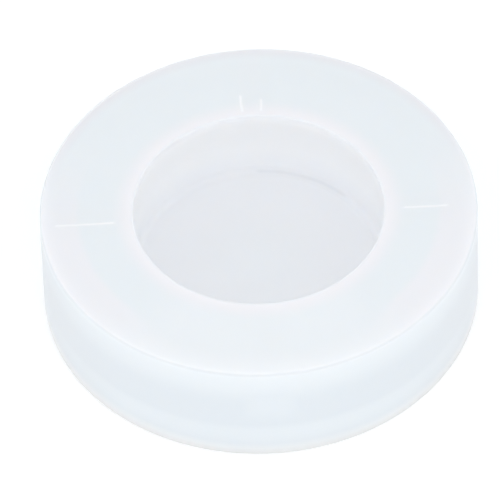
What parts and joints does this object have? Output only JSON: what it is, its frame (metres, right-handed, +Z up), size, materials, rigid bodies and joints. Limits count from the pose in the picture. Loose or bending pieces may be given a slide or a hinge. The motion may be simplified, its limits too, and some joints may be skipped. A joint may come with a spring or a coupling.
{
  "type": "resin casting mould",
  "caption": "Round one-piece translucent silicone mould lying mouth down, hollow core on top; its ring channel and core cast a shallow round dish with a notched rim.",
  "frame": {"origin": "centre of the mouth's plane, which is the surface that the mould lies on, mouth down", "axes": "+Z up, out of the hollow core's recess and away from the mouth; the mould is poured with -Z up. One ridge lies 1.5 degrees from +X, and the others follow a quarter turn apart"},
  "size_m": [0.103, 0.103, 0.0285],
  "materials": {
    "clear_silicone": "translucent, milky, satin"
  },
  "bodies": {
    "root": {"mould_body": "clear_silicone"}
  },
  "joints": []
}
